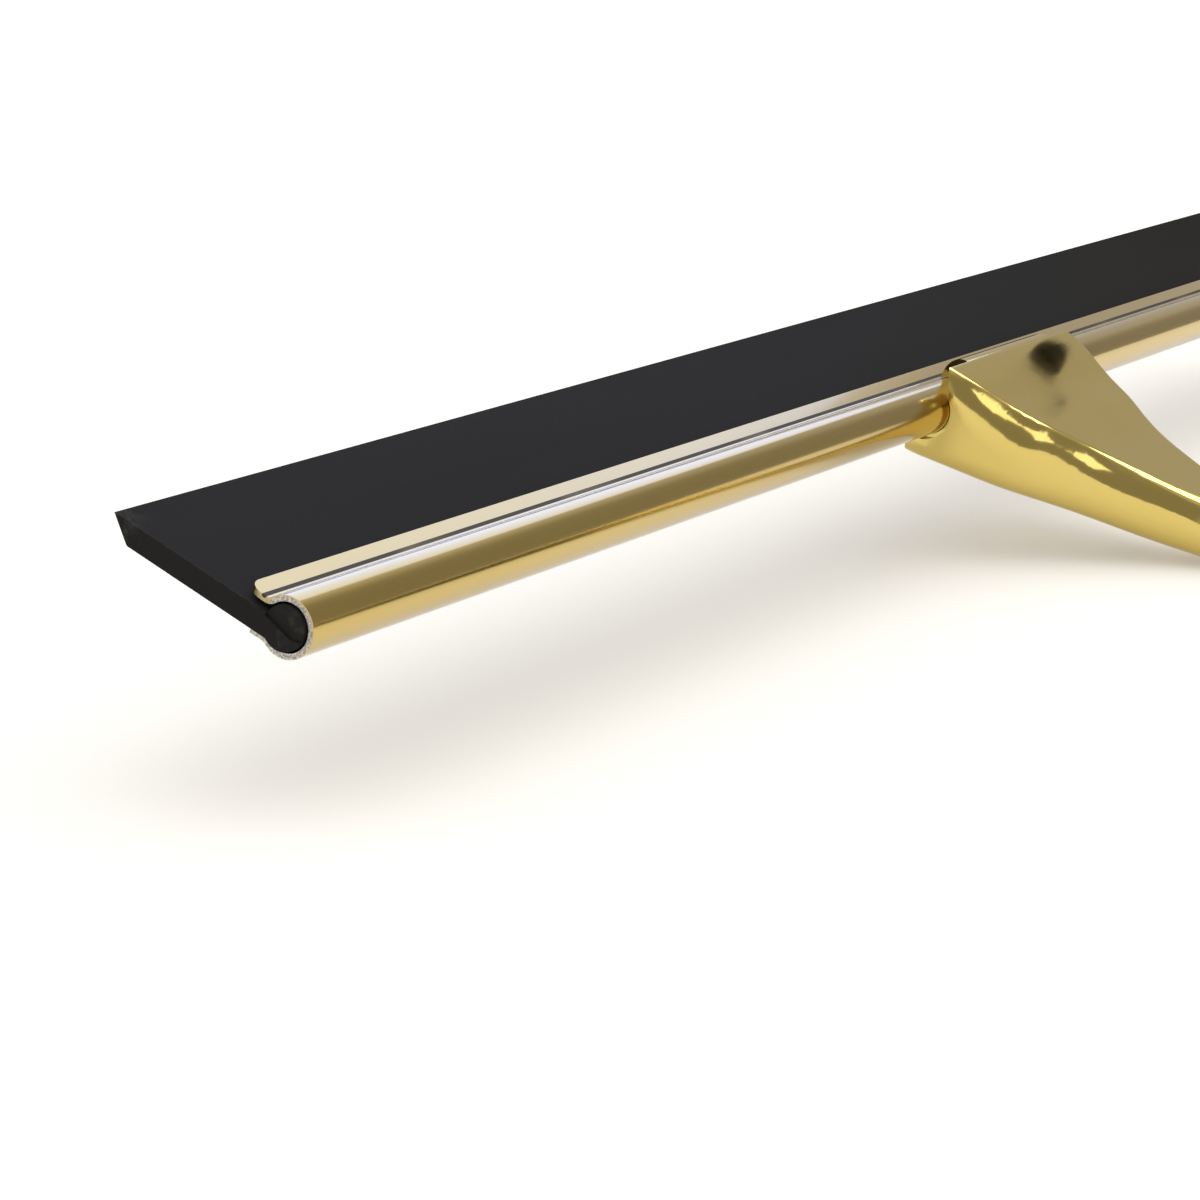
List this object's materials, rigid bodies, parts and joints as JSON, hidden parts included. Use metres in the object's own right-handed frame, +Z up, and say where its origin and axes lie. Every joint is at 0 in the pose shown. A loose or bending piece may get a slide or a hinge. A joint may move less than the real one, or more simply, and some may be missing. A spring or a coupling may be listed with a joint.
{
  "type": "window cleaning squeegee",
  "caption": "Window squeegee: rolled gold channel holding a black rubber blade, in a tapered cast handle with a sprung release lever and a ribbed grip that takes a pole.",
  "frame": {"origin": "bottom centre of the object's box as it lies on its back: midway along the channel, and midway between the blade's tip and the end of the grip", "axes": "+X along the channel, +Y from the grip towards the blade's tip, +Z up from the surface it lies on"},
  "size_m": [0.452, 0.2316, 0.0411],
  "materials": {
    "channel": "rolled sheet, gold anodised, satin gloss, bare metal at the sheared ends",
    "blade_rubber": "moulded natural rubber, matte, cut ends",
    "cast_brass": "cast and polished",
    "lever_brass": "cast and tumbled",
    "pad_rubber": "matte",
    "pin_steel": "ground",
    "clip_steel": "stamped and hardened",
    "spring_steel": "drawn wire",
    "tube_brass": "drawn",
    "cross_pin_steel": "ground",
    "ferrule_brass": "turned and polished",
    "sleeve_rubber": "moulded, matte, with ring grooves",
    "collar_brass": "turned and polished",
    "socket_nylon": "moulded nylon, matte"
  },
  "bodies": {
    "handle": {"handle_casting": "cast_brass", "lever_pin": "pin_steel", "pin_clips": "clip_steel", "lever_spring": "spring_steel", "front_ferrule": "ferrule_brass", "grip_tube": "tube_brass", "cross_pin": "cross_pin_steel", "grip_sleeve": "sleeve_rubber", "rear_collar": "collar_brass", "pole_socket": "socket_nylon"},
    "lever": {"release_lever": "lever_brass", "jaw_pad": "pad_rubber"},
    "channel": {"channel": "channel"},
    "blade": {"rubber_blade": "blade_rubber"}
  },
  "joints": [
    {"name": "lever_pivot", "type": "hinge", "parent": "handle", "child": "lever", "pos_m": [0, 0.07816, 0.01851], "axis": [-1, 0, 0], "range_deg": [0, 12], "stiffness_Nm_per_rad": 0.08, "springref_deg": -28.65, "deforming": ["lever_spring"]},
    {"name": "channel_slide", "type": "slide", "parent": "handle", "child": "channel", "axis": [1, 0, 0], "range_m": [-0.195, 0.195]},
    {"name": "blade_slide", "type": "slide", "parent": "channel", "child": "blade", "axis": [1, 0, 0], "range_m": [-0.44, 0.44]}
  ]
}
